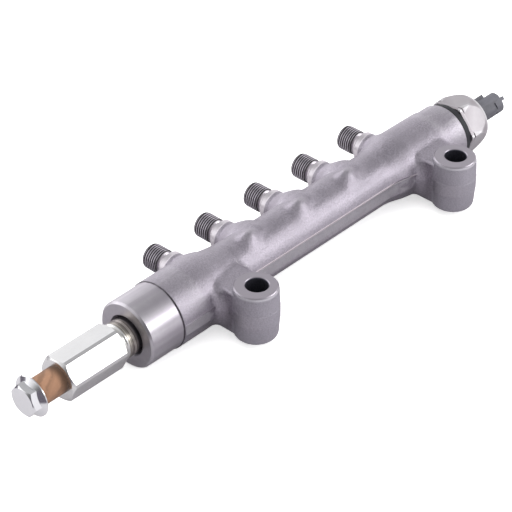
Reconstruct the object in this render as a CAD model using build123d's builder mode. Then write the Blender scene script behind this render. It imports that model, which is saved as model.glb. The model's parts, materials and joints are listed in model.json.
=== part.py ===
from build123d import *
import os
import math

os.makedirs("parts", exist_ok=True)

# ---------------------------------------------------------------------------
# Common-rail fuel rail, millimetres.
# Origin: midway between the two mounting holes, on the seat plane of the lugs.
# +X runs along the rail towards the pressure sensor, +Y towards the injector
# nipples, +Z up out of the lug spot faces.
# ---------------------------------------------------------------------------

# mounting lugs
lug_pitch = 140.0
lug_axis_offset = 28.8        # bolt axis to rail axis, along Y
lug_forging_shift = -0.6      # forged boss centre from the drilled hole, along X
lug_top = 27.0                # spot face above the seat
lug_hole_r = 5.25
lug_mid_r = 10.9              # boss radius at the parting plane
lug_spot_r = 10.3
web_half_width = 10.0
web_top_drop = 2.3
web_bottom_drop = 1.0
web_bottom_edge_r = 2.6
web_flare_r = 5.0
lug_draft = 3.0
seat_edge_r = 2.6
lug_hole_lead = 0.5
web_edge_r = 2.0

# rail body
near_lug_from_face = 53.3
far_lug_from_face = 26.7
barrel_allowance = 0.5       # turned off the forging's radius
barrel_length = 19.0
barrel_chamfer = 1.0
end_r = 17.0
middle_r = 13.6
far_end_r = 16.4
far_barrel_allowance = 0.6
far_barrel_length = 10.0
step_chamfer = 0.7
taper_before_web = 4.3         # runs past the web's flare on either side
taper_past_web = 2.7
far_taper_inset = 9.3          # from the far lug's centre
far_taper_length = 22.0
land_half_mid = 3.4
land_half_end = 2.6
land_half_shoulder = 4.0
land_proud = 0.1
land_start_gap = 1.2
land_finish_gap = 1.5

# injector nipples
nipple_count = 5
nipple_first = 49.4
nipple_pitch = 33.85
nipple_r = 6.0
nipple_reach = 34.9           # tip from the rail axis
nipple_thread_end = 23.9
nipple_relief_r = 5.1
nipple_shoulder_r = 7.5
nipple_shoulder_base = 19.4
nipple_shoulder_top = 22.4
nipple_tip_chamfer = 0.9
nipple_seat_r = 3.6
nipple_seat_angle = 30.0
nipple_drill_r = 1.5
hump_top_r = 8.6
hump_neck_reach = 14.4        # from the rail axis
hump_flank_r = 12.4
hump_flank_reach = 10.2
hump_wide_r = 14.2
hump_wide_reach = 4.0
hump_crown_r = 14.8
hump_crown_reach = 0.4
hump_nose_r = 14.3            # beyond the rail axis, away from the nipple
hump_nose_reach = -2.8
hump_foot_r = 12.0
hump_foot_reach = -6.0
hump_end_r = 10.4
hump_end_reach = -7.4

# bores
bore_r = 5.0
port_thread_r = 9.05
port_depth = 16.0
port_mouth_r = 10.3

# relief valve: stations along the rail, from its near face
relief_hex_af = 20.0
relief_hex_turned_r = 11.1
relief_hex_face_r = 9.5
relief_hex_start = -41.4
relief_hex_end = -8.9
relief_hex_turn = 112.7       # direction of one hexagon corner
relief_cavity_r = 5.6
relief_cavity_start = -24.0
relief_passage_r = 2.5
return_thread_r = 5.0
return_thread_depth = 13.4
valve_seat_r = 7.6
valve_seat_length = 3.5
valve_orifice_r = 1.1
valve_cone_r = 2.6
valve_seat_gap = 0.06
valve_stem_r = 2.4
valve_collar_r = 4.4
valve_collar_gap = 0.9
valve_collar_length = 1.7
valve_lift = 0.8
valve_tail_r = 2.9
valve_tail_length = 3.3
valve_nose_length = 1.2
guide_length = 6.6
guide_slot_width = 1.6
guide_slot_height = 3.0
guide_cross_slot_length = 5.4
guide_cross_slot_depth = 1.4
spring_wire_r = 0.55
spring_turns = 7.0
shim_thickness = 1.0
stop_flange_length = 2.0
stop_rod_r = 2.1
stop_drill_r = 0.9
stop_cross_hole_r = 0.7
stop_end_gap = 0.02
screw_gap = 0.05
seating_gap = 0.03

# hollow return bolt and its sleeve
bolt_hex_af = 14.0
bolt_head_length = 4.0
bolt_flange_length = 2.0
bolt_flange_r = 10.0
bolt_flange_edge = 0.9
bolt_hex_face_r = 6.6
bolt_hex_turn = 127.7
bolt_end_gap = 0.8
bolt_drill_r = 2.4
bolt_cross_hole_r = 1.5
bolt_cross_hole_inset = 7.1
sleeve_length = 14.2
sleeve_inner_r = 5.1
sleeve_outer_r = 6.6

# pressure sensor
sensor_neck_inset = 2.0
sensor_gap = 4.6              # open neck between the rail's end and the hexagon
sensor_hex_af = 27.0
sensor_hex_turn = 112.0
sensor_hex_length = 15.2
sensor_corner_r = 15.5
sensor_rear_r = 13.0
sensor_rear_length = 8.5
sensor_groove_inset = 1.6
sensor_groove_r = 14.4
sensor_port_bore_r = 6.5
sensor_floor = 3.4
sensor_cavity_r = 11.0
sensor_board_thickness = 1.6
chip_offset = 6.4
chip_length = 5.0
chip_width = 3.0
chip_height = 1.1
sensor_base_inset = 0.9
sensor_base_length = 2.2
spacer_wall = 1.5
diaphragm_thickness = 1.2
pressure_bore_r = 1.5
plug_turn = 42.7              # direction of the plug's latch side
plug_width = 10.8
plug_depth = 12.4
plug_corner_r = 4.2
plug_wall = 1.3
plug_length = 20.4            # from the housing's rear face
plug_pocket_depth = 14.2
plug_shift = -0.9
plug_collar_r = 9.2
plug_collar_length = 2.6
latch_width = 4.6
latch_height = 1.9
latch_inset = 5.6             # from the plug's mouth
tab_width = 2.1
tab_thickness = 1.3
tab_root = 4.0
tab_reach = 2.3
slot_inset = 5.8
slot_length = 1.2
slot_depth = 0.9
terminal_width = 0.8
terminal_pitch = 2.6
terminal_inset = 4.2

# derived positions
axis_y = lug_axis_offset
axis_z = lug_top / 2
near_face = -lug_pitch / 2 - near_lug_from_face
rail_length = near_lug_from_face + lug_pitch + far_lug_from_face
web_reach = web_half_width + web_flare_r
taper_start = near_lug_from_face - web_reach - taper_before_web
taper_length = 2 * web_reach + taper_before_web + taper_past_web
far_taper_start = rail_length - far_lug_from_face - far_taper_inset - far_taper_length
land_start = barrel_length + land_start_gap
land_finish = rail_length - far_barrel_length - land_finish_gap
taper_drop = end_r - middle_r
barrel_r = end_r - barrel_allowance
far_barrel_r = far_end_r - far_barrel_allowance
far_middle_r = middle_r + 0.48 * (far_end_r + 0.2 - middle_r)
lug_x = [-lug_pitch / 2, lug_pitch / 2]
nipple_x = [near_face + nipple_first + i * nipple_pitch for i in range(nipple_count)]
rail_axis = Axis((near_face, axis_y, axis_z), (1, 0, 0))

# derived sizes of the relief valve
relief_neck_r = port_thread_r - screw_gap
relief_neck_end = port_depth - valve_seat_length
guide_start = relief_neck_end - guide_length
valve_collar_end = guide_start - valve_collar_gap
valve_tail_end = valve_collar_end - valve_collar_length - valve_tail_length
spring_mean_r = valve_collar_r - spring_wire_r
spring_end = valve_collar_end - valve_collar_length
spring_start = relief_cavity_start + stop_flange_length + shim_thickness
spring_length = spring_end - spring_start
stop_tip = valve_tail_end - valve_lift - stop_end_gap

# derived sizes of the return bolt
bolt_under_head = relief_hex_start - sleeve_length
bolt_flange_start = bolt_under_head - bolt_flange_length
bolt_head_start = bolt_flange_start - bolt_head_length
bolt_shank_end = relief_hex_start + return_thread_depth - bolt_end_gap
bolt_cross_hole = relief_hex_start - bolt_cross_hole_inset
bolt_corner_r = bolt_hex_af / math.sqrt(3)

# derived sizes of the pressure sensor
port_floor = rail_length - port_depth
sensor_neck_r = port_thread_r - screw_gap
sensor_neck_start = port_floor + sensor_neck_inset
sensor_hex_start = rail_length + sensor_gap
sensor_hex_end = sensor_hex_start + sensor_hex_length
sensor_groove_start = sensor_hex_start + sensor_groove_inset
sensor_shoulder = sensor_hex_start + sensor_floor
sensor_board_r = sensor_cavity_r - screw_gap
sensor_board_rear = sensor_shoulder + sensor_board_thickness
sensor_base_end = sensor_hex_end - sensor_base_inset
sensor_base_start = sensor_base_end - sensor_base_length
plug_end = sensor_hex_end + plug_length
plug_pocket_start = plug_end - plug_pocket_depth
latch_end = plug_end - latch_inset
slot_start = plug_end - slot_inset
terminal_end = plug_end - terminal_inset


def at(x):
    """Row X of a station given as a distance along the rail from its near face."""
    return near_face + x


def axial_plane(x):
    """Plane holding the rail axis: local x along the rail, local y the radius."""
    return Plane(origin=(x, axis_y, axis_z), x_dir=(1, 0, 0), z_dir=(0, -1, 0))


def cross_plane(x, turn=0.0):
    """Plane square to the rail axis: local x at `turn` degrees from +Y towards +Z."""
    t = math.radians(turn)
    return Plane(
        origin=(x, axis_y, axis_z), x_dir=(0, math.cos(t), math.sin(t)), z_dir=(1, 0, 0)
    )


def nipple_plane(x):
    """Plane holding a nipple axis: local x is the radius, local y runs out along +Y."""
    return Plane(origin=(x, axis_y, axis_z), x_dir=(1, 0, 0), z_dir=(0, 0, 1))


def on_barrel(point):
    """True for a point on the forged barrel's surface."""
    r = math.hypot(point.Y - axis_y, point.Z - axis_z)
    return middle_r - 0.1 < r < max(end_r, far_end_r) + 0.3


def web_joint(builder, x):
    """Edges where the web of the lug at x meets the barrel."""
    found = ShapeList()
    for edge in builder.edges():
        ends = (edge @ 0, edge @ 0.5, edge @ 1)
        ring = edge.geom_type == GeomType.CIRCLE and edge.bounding_box().size.X < 0.01
        near = abs(ends[1].X - x) < web_half_width + 0.4 and ends[1].Y < axis_y - 3
        if near and not ring and all(on_barrel(p) for p in ends):
            found.append(edge)
    return found


def label(builder, name):
    builder.part.label = name
    export_step(builder.part, "parts/" + name + ".step")


# ---------------------------------------------------------------------------
# tools for the forged body, built on their own and added to it
# ---------------------------------------------------------------------------
# flash land: a flat strip tangent to the barrel, trimmed at the parting plane
with BuildPart() as land_plan:
    with BuildSketch(Plane.XY.offset(axis_z)):
        with BuildLine():
            Line((at(land_start), axis_y), (at(land_start), axis_y - end_r - land_proud))
            Line(
                (at(land_start), axis_y - end_r - land_proud),
                (at(taper_start), axis_y - end_r - land_proud),
            )
            Spline(
                (at(taper_start), axis_y - end_r - land_proud),
                (
                    at(taper_start + 0.27 * taper_length),
                    axis_y - middle_r - 0.88 * taper_drop - land_proud,
                ),
                (
                    at(taper_start + 0.51 * taper_length),
                    axis_y - middle_r - 0.5 * taper_drop - land_proud,
                ),
                (
                    at(taper_start + 0.75 * taper_length),
                    axis_y - middle_r - 0.12 * taper_drop - land_proud,
                ),
                (at(taper_start + taper_length), axis_y - middle_r - land_proud),
                tangents=[(1, 0), (1, 0)],
            )
            Line(
                (at(taper_start + taper_length), axis_y - middle_r - land_proud),
                (at(far_taper_start), axis_y - middle_r - land_proud),
            )
            Spline(
                (at(far_taper_start), axis_y - middle_r - land_proud),
                (at(far_taper_start + 0.5 * far_taper_length), axis_y - far_middle_r - land_proud),
                (at(far_taper_start + far_taper_length), axis_y - far_end_r - land_proud),
                tangents=[(1, 0), (1, 0)],
            )
            Polyline(
                (at(far_taper_start + far_taper_length), axis_y - far_end_r - land_proud),
                (at(land_finish), axis_y - far_end_r - land_proud),
                (at(land_finish), axis_y),
                (at(land_start), axis_y),
            )
        make_face()
    extrude(amount=land_half_shoulder + 1.0, both=True)
    with BuildSketch(Plane.XZ.offset(-axis_y)):
        with BuildLine():
            Polyline(
                (at(land_start), axis_z + land_half_end),
                (at(taper_start), axis_z + land_half_end),
                (at(taper_start + taper_length), axis_z + land_half_mid),
                (at(far_taper_start), axis_z + land_half_mid),
                (at(far_taper_start + 0.5 * far_taper_length), axis_z + land_half_shoulder),
                (at(far_taper_start + far_taper_length), axis_z + land_half_end),
                (at(land_finish), axis_z + land_half_end),
                (at(land_finish), axis_z - land_half_end),
                (at(far_taper_start + far_taper_length), axis_z - land_half_end),
                (at(far_taper_start + 0.5 * far_taper_length), axis_z - land_half_shoulder),
                (at(far_taper_start), axis_z - land_half_mid),
                (at(taper_start + taper_length), axis_z - land_half_mid),
                (at(taper_start), axis_z - land_half_end),
                (at(land_start), axis_z - land_half_end),
                close=True,
            )
        make_face()
    extrude(amount=40.0, both=True, mode=Mode.INTERSECT)

# mounting lug web, drafted both ways from the parting plane
with BuildPart() as web:
    with BuildSketch(Plane.XY.offset(axis_z)):
        with Locations((0, (axis_y - 2.0) / 2)):
            Rectangle(2 * web_half_width, axis_y - 2.0)
    extrude(amount=lug_top / 2 - web_top_drop, taper=lug_draft)
    with BuildSketch(Plane.XY.offset(axis_z)):
        with Locations((0, (axis_y - 2.0) / 2)):
            Rectangle(2 * web_half_width, axis_y - 2.0)
    extrude(amount=-(lug_top / 2 - web_bottom_drop), taper=lug_draft)
    long_edges = web.edges().filter_by(Axis.Y, tolerance=5)
    fillet(long_edges.group_by(Axis.Z)[-1], radius=web_edge_r)
    long_edges = web.edges().filter_by(Axis.Y, tolerance=5)
    fillet(long_edges.group_by(Axis.Z)[0], radius=web_bottom_edge_r)

# mounting lug boss
draft_drop = math.tan(math.radians(lug_draft)) * lug_top / 2
with BuildPart() as boss:
    with BuildSketch(Plane.XZ):
        with BuildLine():
            Polyline(
                (0, 0),
                (lug_mid_r - draft_drop - seat_edge_r, 0),
            )
            RadiusArc(
                (lug_mid_r - draft_drop - seat_edge_r, 0),
                (lug_mid_r - draft_drop + 0.2, seat_edge_r),
                -seat_edge_r * 1.02,
            )
            Polyline(
                (lug_mid_r - draft_drop + 0.2, seat_edge_r),
                (lug_mid_r, axis_z - land_half_mid),
                (lug_mid_r + land_proud, axis_z - land_half_mid + 0.15),
                (lug_mid_r + land_proud, axis_z + land_half_mid - 0.15),
                (lug_mid_r, axis_z + land_half_mid),
                (lug_spot_r + 0.25, lug_top - 2.0),
                (lug_spot_r + 0.1, lug_top - 2.1),
                (lug_spot_r, lug_top - 0.5),
                (lug_spot_r - 0.5, lug_top),
                (0, lug_top),
                (0, 0),
            )
        make_face()
    revolve(axis=Axis.Z)

# ---------------------------------------------------------------------------
# forged rail body with its nipples and lugs
# ---------------------------------------------------------------------------
with BuildPart() as rail_body:
    # turned and forged barrel
    with BuildSketch(axial_plane(near_face)):
        with BuildLine():
            Polyline(
                (taper_start, end_r),
                (barrel_length + step_chamfer, end_r),
                (barrel_length, barrel_r),
                (barrel_chamfer, barrel_r),
                (0, barrel_r - barrel_chamfer),
                (0, 0),
                (rail_length, 0),
                (rail_length, far_barrel_r - 0.5),
                (rail_length - 0.5, far_barrel_r),
                (rail_length - far_barrel_length, far_barrel_r),
                (rail_length - far_barrel_length - 0.6, far_end_r),
                (far_taper_start + far_taper_length, far_end_r + 0.2),
            )
            Spline(
                (far_taper_start + far_taper_length, far_end_r + 0.2),
                (far_taper_start + 0.5 * far_taper_length, far_middle_r),
                (far_taper_start, middle_r),
                tangents=[(-1, 0), (-1, 0)],
            )
            Line((far_taper_start, middle_r), (taper_start + taper_length, middle_r))
            Spline(
                (taper_start + taper_length, middle_r),
                (taper_start + 0.75 * taper_length, middle_r + 0.12 * taper_drop),
                (taper_start + 0.51 * taper_length, middle_r + 0.5 * taper_drop),
                (taper_start + 0.27 * taper_length, middle_r + 0.88 * taper_drop),
                (taper_start, end_r),
                tangents=[(-1, 0), (-1, 0)],
            )
        make_face()
    revolve(axis=rail_axis)


    # webs of the two lugs, blended into the barrel
    for x in lug_x:
        with Locations((x + lug_forging_shift, 0, 0)):
            add(web.part)
    for x in lug_x:
        fillet(web_joint(rail_body, x + lug_forging_shift), radius=web_flare_r)

    # humps that carry the nipples
    for x in nipple_x:
        with BuildSketch(nipple_plane(x)):
            with BuildLine():
                Line((0, hump_end_reach), (0, nipple_shoulder_base - 1.2))
                Line(
                    (0, nipple_shoulder_base - 1.2),
                    (hump_top_r - 1.4, nipple_shoulder_base - 1.2),
                )
                Spline(
                    (hump_top_r - 1.4, nipple_shoulder_base - 1.2),
                    (hump_top_r + 1.0, hump_neck_reach),
                    (hump_flank_r, hump_flank_reach),
                    (hump_wide_r, hump_wide_reach),
                    (hump_crown_r, hump_crown_reach),
                    (hump_nose_r, hump_nose_reach),
                    (hump_foot_r, hump_foot_reach),
                    (hump_end_r, hump_end_reach),
                )
                Line((hump_end_r, hump_end_reach), (0, hump_end_reach))
            make_face()
        revolve(axis=Axis((x, axis_y, axis_z), (0, 1, 0)))

    # flash land round the barrel, bosses of the lugs
    add(land_plan.part)
    for x in lug_x:
        with Locations((x + lug_forging_shift, 0, 0)):
            add(boss.part)

    # nipples: shoulder, relief and plain thread diameter
    for x in nipple_x:
        with BuildSketch(nipple_plane(x)):
            with BuildLine():
                Polyline(
                    (0, 4.0),
                    (nipple_shoulder_r, 4.0),
                    (nipple_shoulder_r, nipple_shoulder_top - 0.4),
                    (nipple_shoulder_r - 0.4, nipple_shoulder_top),
                    (nipple_r - 0.1, nipple_thread_end - 0.6),
                    (nipple_relief_r, nipple_thread_end),
                    (nipple_relief_r, nipple_thread_end + 0.6),
                    (nipple_r, nipple_thread_end + 1.4),
                    (nipple_r, nipple_reach - nipple_tip_chamfer),
                    (nipple_r - nipple_tip_chamfer, nipple_reach),
                    (0, nipple_reach),
                    (0, 4.0),
                )
            make_face()
        revolve(axis=Axis((x, axis_y, axis_z), (0, 1, 0)))

    # lug bolt holes with a broken edge
    for x in lug_x:
        with BuildSketch(Plane(origin=(x, 0, 0), x_dir=(1, 0, 0), z_dir=(0, -1, 0))):
            with BuildLine():
                Polyline(
                    (0, -1),
                    (lug_hole_r + lug_hole_lead + 1, -1),
                    (lug_hole_r, lug_hole_lead),
                    (lug_hole_r, lug_top - lug_hole_lead),
                    (lug_hole_r + lug_hole_lead + 1, lug_top + 1),
                    (0, lug_top + 1),
                    (0, -1),
                )
            make_face()
        revolve(axis=Axis((x, 0, 0), (0, 0, 1)), mode=Mode.SUBTRACT)

    # fuel gallery with a threaded port at each end
    with BuildSketch(axial_plane(near_face)):
        with BuildLine():
            Polyline(
                (-1, 0),
                (-1, port_mouth_r + 1.0),
                (0, port_mouth_r),
                (port_mouth_r - port_thread_r, port_thread_r),
                (port_depth, port_thread_r),
                (port_depth, bore_r),
                (rail_length - port_depth, bore_r),
                (rail_length - port_depth, port_thread_r),
                (rail_length - port_mouth_r + port_thread_r, port_thread_r),
                (rail_length, port_mouth_r),
                (rail_length + 1, port_mouth_r + 1.0),
                (rail_length + 1, 0),
                (-1, 0),
            )
        make_face()
    revolve(axis=rail_axis, mode=Mode.SUBTRACT)

    # cone seat and drilling in every nipple
    for x in nipple_x:
        seat_depth = (nipple_seat_r - nipple_drill_r) / math.tan(math.radians(nipple_seat_angle))
        with BuildSketch(nipple_plane(x)):
            with BuildLine():
                Polyline(
                    (0, 0),
                    (nipple_drill_r, 0),
                    (nipple_drill_r, nipple_reach - seat_depth),
                    (nipple_seat_r, nipple_reach),
                    (nipple_seat_r, nipple_reach + 1),
                    (0, nipple_reach + 1),
                    (0, 0),
                )
            make_face()
        revolve(axis=Axis((x, axis_y, axis_z), (0, 1, 0)), mode=Mode.SUBTRACT)

label(rail_body, "rail_body")

# ---------------------------------------------------------------------------
# pressure relief valve in the near port
# ---------------------------------------------------------------------------
with BuildPart() as limiter_housing:
    # hexagon, with turned corners and chamfered ends
    with BuildSketch(cross_plane(at(relief_hex_start), relief_hex_turn)):
        RegularPolygon(relief_hex_af / math.sqrt(3), 6)
    extrude(amount=relief_hex_end - relief_hex_start)
    chamfer_run = (relief_hex_turned_r - relief_hex_face_r) * math.tan(math.radians(35))
    with BuildSketch(axial_plane(near_face)):
        with BuildLine():
            Polyline(
                (relief_hex_start, 0),
                (relief_hex_start, relief_hex_face_r),
                (relief_hex_start + chamfer_run, relief_hex_turned_r),
                (relief_hex_end - chamfer_run, relief_hex_turned_r),
                (relief_hex_end, relief_hex_face_r),
                (relief_hex_end, 0),
                (relief_hex_start, 0),
            )
        make_face()
    revolve(axis=rail_axis, mode=Mode.INTERSECT)
    # neck screwed into the port
    with BuildSketch(axial_plane(near_face)):
        with BuildLine():
            Polyline(
                (relief_hex_end - 0.5, 0),
                (relief_hex_end - 0.5, relief_neck_r - 0.6),
                (relief_hex_end + 1.6, relief_neck_r - 0.6),
                (relief_hex_end + 2.2, relief_neck_r),
                (relief_neck_end - 1.0, relief_neck_r),
                (relief_neck_end, relief_neck_r - 1.0),
                (relief_neck_end, 0),
                (relief_hex_end - 0.5, 0),
            )
        make_face()
    revolve(axis=rail_axis)
    # valve cavity, return passage and threaded return hole
    with BuildSketch(axial_plane(near_face)):
        with BuildLine():
            Polyline(
                (relief_hex_start - 1, 0),
                (relief_hex_start - 1, return_thread_r + 1.6),
                (relief_hex_start + 0.6, return_thread_r + seating_gap),
                (relief_hex_start + return_thread_depth, return_thread_r + seating_gap),
                (relief_hex_start + return_thread_depth, relief_passage_r),
                (relief_cavity_start, relief_passage_r),
                (relief_cavity_start, relief_cavity_r),
                (relief_neck_end + 1, relief_cavity_r),
                (relief_neck_end + 1, 0),
                (relief_hex_start - 1, 0),
            )
        make_face()
    revolve(axis=rail_axis, mode=Mode.SUBTRACT)
label(limiter_housing, "limiter_housing")

with BuildPart() as limiter_valve_seat:
    cone_length = valve_cone_r - valve_orifice_r
    with BuildSketch(axial_plane(near_face)):
        with BuildLine():
            Polyline(
                (relief_neck_end, valve_cone_r),
                (relief_neck_end, valve_seat_r),
                (port_depth - 0.4, valve_seat_r),
                (port_depth, valve_seat_r - 0.4),
                (port_depth, valve_orifice_r + 0.5),
                (port_depth - 0.5, valve_orifice_r),
                (relief_neck_end + cone_length, valve_orifice_r),
                close=True,
            )
        make_face()
    revolve(axis=rail_axis)
label(limiter_valve_seat, "limiter_valve_seat")

with BuildPart() as limiter_valve:
    nose_tip = relief_neck_end + valve_nose_length
    nose_tip_r = valve_cone_r - valve_nose_length - valve_seat_gap
    with BuildSketch(axial_plane(near_face)):
        with BuildLine():
            Polyline(
                (nose_tip, 0),
                (nose_tip, nose_tip_r),
                (nose_tip - (valve_stem_r - nose_tip_r), valve_stem_r),
                (valve_collar_end, valve_stem_r),
                (valve_collar_end, valve_collar_r - 0.3),
                (valve_collar_end - 0.3, valve_collar_r),
                (valve_collar_end - valve_collar_length, valve_collar_r),
                (valve_collar_end - valve_collar_length, valve_tail_r),
                (valve_tail_end + 0.4, valve_tail_r),
                (valve_tail_end, valve_tail_r - 0.4),
                (valve_tail_end, 0),
                (nose_tip, 0),
            )
        make_face()
    revolve(axis=rail_axis)
label(limiter_valve, "limiter_valve")

with BuildPart() as limiter_guide:
    with BuildSketch(axial_plane(near_face)):
        with BuildLine():
            Polyline(
                (guide_start, valve_stem_r + screw_gap),
                (guide_start, relief_cavity_r - seating_gap),
                (relief_neck_end, relief_cavity_r - seating_gap),
                (relief_neck_end, valve_stem_r + screw_gap),
                close=True,
            )
        make_face()
    revolve(axis=rail_axis)
    # three fuel slots down the outside
    with BuildSketch(cross_plane(at(guide_start))):
        with PolarLocations(relief_cavity_r, 3):
            Rectangle(guide_slot_height, guide_slot_width)
    extrude(amount=relief_neck_end - guide_start, mode=Mode.SUBTRACT)
    # cross slots that let fuel leave the seat cone
    with BuildSketch(cross_plane(at(relief_neck_end))):
        with PolarLocations(relief_cavity_r - guide_slot_height / 2, 3):
            Rectangle(guide_cross_slot_length, guide_slot_width)
    extrude(amount=-guide_cross_slot_depth, mode=Mode.SUBTRACT)
label(limiter_guide, "limiter_guide")

with BuildPart() as limiter_spring:
    with BuildLine():
        coil = Helix(
            pitch=(spring_length - 2 * spring_wire_r) / spring_turns,
            height=spring_length - 2 * spring_wire_r,
            radius=spring_mean_r,
            center=(at(spring_start + spring_wire_r), axis_y, axis_z),
            direction=(1, 0, 0),
        )
    with BuildSketch(Plane(origin=coil @ 0, z_dir=coil % 0)):
        Circle(spring_wire_r)
    sweep(path=coil, is_frenet=True)
label(limiter_spring, "limiter_spring")

with BuildPart() as limiter_shim:
    with BuildSketch(cross_plane(at(spring_start - shim_thickness))):
        Circle(relief_cavity_r - 0.1)
        Circle(stop_rod_r + screw_gap, mode=Mode.SUBTRACT)
    extrude(amount=shim_thickness)
label(limiter_shim, "limiter_shim")

with BuildPart() as limiter_stop:
    with BuildSketch(axial_plane(near_face)):
        with BuildLine():
            Polyline(
                (relief_cavity_start, stop_drill_r),
                (relief_cavity_start, relief_cavity_r - seating_gap),
                (relief_cavity_start + stop_flange_length, relief_cavity_r - seating_gap),
                (relief_cavity_start + stop_flange_length, stop_rod_r),
                (stop_tip - 0.4, stop_rod_r),
                (stop_tip, stop_rod_r - 0.4),
                (stop_tip, stop_drill_r),
                close=True,
            )
        make_face()
    revolve(axis=rail_axis)
    # cross hole feeding the rod's drilling
    with BuildSketch(Plane.XY.offset(axis_z)):
        with Locations((at(stop_tip - 3.0), axis_y)):
            Circle(stop_cross_hole_r)
    extrude(amount=stop_rod_r + 1, both=True, mode=Mode.SUBTRACT)
label(limiter_stop, "limiter_stop")

# ---------------------------------------------------------------------------
# hollow return bolt and its sleeve
# ---------------------------------------------------------------------------
with BuildPart() as return_bolt:
    with BuildSketch(cross_plane(at(bolt_head_start), bolt_hex_turn)):
        RegularPolygon(bolt_corner_r, 6)
    extrude(amount=bolt_under_head - 0.5 - bolt_head_start)
    with BuildSketch(axial_plane(near_face)):
        with BuildLine():
            Polyline(
                (bolt_head_start, 0),
                (bolt_head_start, bolt_hex_face_r),
                (bolt_head_start + 1.0, bolt_corner_r + 0.1),
                (bolt_under_head, bolt_corner_r + 0.1),
                (bolt_under_head, 0),
                (bolt_head_start, 0),
            )
        make_face()
    revolve(axis=rail_axis, mode=Mode.INTERSECT)
    with BuildSketch(axial_plane(near_face)):
        with BuildLine():
            Polyline(
                (bolt_flange_start - 0.6, 0),
                (bolt_flange_start - 0.6, bolt_hex_af / 2 - 0.2),
                (bolt_under_head - bolt_flange_edge - 0.1, bolt_flange_r - 0.35),
                (bolt_under_head - bolt_flange_edge + 0.25, bolt_flange_r),
                (bolt_under_head - 0.25, bolt_flange_r),
                (bolt_under_head, bolt_flange_r - 0.25),
                (bolt_under_head, return_thread_r),
                (bolt_shank_end - 0.9, return_thread_r),
                (bolt_shank_end, return_thread_r - 0.9),
                (bolt_shank_end, 0),
                (bolt_flange_start - 0.6, 0),
            )
        make_face()
    revolve(axis=rail_axis)
    # fuel drilling along the shank and across it
    with BuildSketch(cross_plane(at(bolt_shank_end))):
        Circle(bolt_drill_r)
    extrude(amount=-(bolt_shank_end - bolt_cross_hole + 2.0), mode=Mode.SUBTRACT)
    with BuildSketch(Plane.XY.offset(axis_z)):
        with Locations((at(bolt_cross_hole), axis_y)):
            Circle(bolt_cross_hole_r)
    extrude(amount=return_thread_r + 1, both=True, mode=Mode.SUBTRACT)
label(return_bolt, "return_bolt")

with BuildPart() as return_bolt_sleeve:
    with BuildSketch(cross_plane(at(bolt_under_head))):
        Circle(sleeve_outer_r)
        Circle(sleeve_inner_r, mode=Mode.SUBTRACT)
    extrude(amount=relief_hex_start - bolt_under_head)
label(return_bolt_sleeve, "return_bolt_sleeve")

# ---------------------------------------------------------------------------
# pressure sensor in the far port
# ---------------------------------------------------------------------------
with BuildPart() as sensor_housing:
    with BuildSketch(cross_plane(at(sensor_hex_start), sensor_hex_turn)):
        RegularPolygon(sensor_hex_af / math.sqrt(3), 6)
    extrude(amount=sensor_hex_end - sensor_hex_start)
    with BuildSketch(axial_plane(near_face)):
        with BuildLine():
            Polyline(
                (sensor_hex_start, 0),
                (sensor_hex_start, sensor_corner_r - 0.5),
                (sensor_hex_start + 0.3, sensor_corner_r),
                (sensor_groove_start, sensor_corner_r),
                (sensor_groove_start + 0.2, sensor_groove_r),
                (sensor_groove_start + 0.7, sensor_groove_r),
                (sensor_groove_start + 0.9, sensor_corner_r),
                (sensor_hex_end - sensor_rear_length, sensor_corner_r),
                (sensor_hex_end - 3.5, sensor_rear_r + 1.25),
                (sensor_hex_end, sensor_rear_r),
                (sensor_hex_end, 0),
                (sensor_hex_start, 0),
            )
        make_face()
    revolve(axis=rail_axis, mode=Mode.INTERSECT)
    with BuildSketch(axial_plane(near_face)):
        with BuildLine():
            Polyline(
                (sensor_neck_start, 0),
                (sensor_neck_start, sensor_neck_r - 0.8),
                (sensor_neck_start + 0.8, sensor_neck_r),
                (rail_length - 1.5, sensor_neck_r),
                (rail_length - 0.9, sensor_neck_r - 0.7),
                (sensor_hex_start + 0.5, sensor_neck_r - 0.7),
                (sensor_hex_start + 0.5, 0),
                (sensor_neck_start, 0),
            )
        make_face()
    revolve(axis=rail_axis)
    with BuildSketch(axial_plane(near_face)):
        with BuildLine():
            Polyline(
                (sensor_neck_start - 1, 0),
                (sensor_neck_start - 1, sensor_port_bore_r),
                (sensor_shoulder, sensor_port_bore_r),
                (sensor_shoulder, sensor_cavity_r),
                (sensor_hex_end + 1, sensor_cavity_r),
                (sensor_hex_end + 1, 0),
                (sensor_neck_start - 1, 0),
            )
        make_face()
    revolve(axis=rail_axis, mode=Mode.SUBTRACT)
label(sensor_housing, "sensor_housing")

with BuildPart() as sensor_pressure_port:
    with BuildSketch(axial_plane(near_face)):
        with BuildLine():
            Polyline(
                (port_floor, pressure_bore_r),
                (port_floor, sensor_port_bore_r + 0.6),
                (port_floor + 0.8, sensor_neck_r - 0.9),
                (sensor_neck_start, sensor_neck_r - 0.9),
                (sensor_neck_start, sensor_port_bore_r - 0.02),
                (sensor_shoulder - 0.4, sensor_port_bore_r - 0.02),
                (sensor_shoulder, sensor_port_bore_r - 0.4),
                (sensor_shoulder, 0),
                (sensor_shoulder - diaphragm_thickness, 0),
                (sensor_shoulder - diaphragm_thickness, pressure_bore_r),
                close=True,
            )
        make_face()
    revolve(axis=rail_axis)
label(sensor_pressure_port, "sensor_pressure_port")

with BuildPart() as sensor_gauge_board:
    with BuildSketch(cross_plane(at(sensor_shoulder))):
        Circle(sensor_board_r)
    extrude(amount=sensor_board_thickness)
    # chips on the rear face
    with BuildSketch(cross_plane(at(sensor_board_rear), sensor_hex_turn)):
        with Locations((0, chip_offset), (0, -chip_offset)):
            Rectangle(chip_length, chip_width)
    extrude(amount=chip_height)
label(sensor_gauge_board, "sensor_gauge_board")

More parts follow.
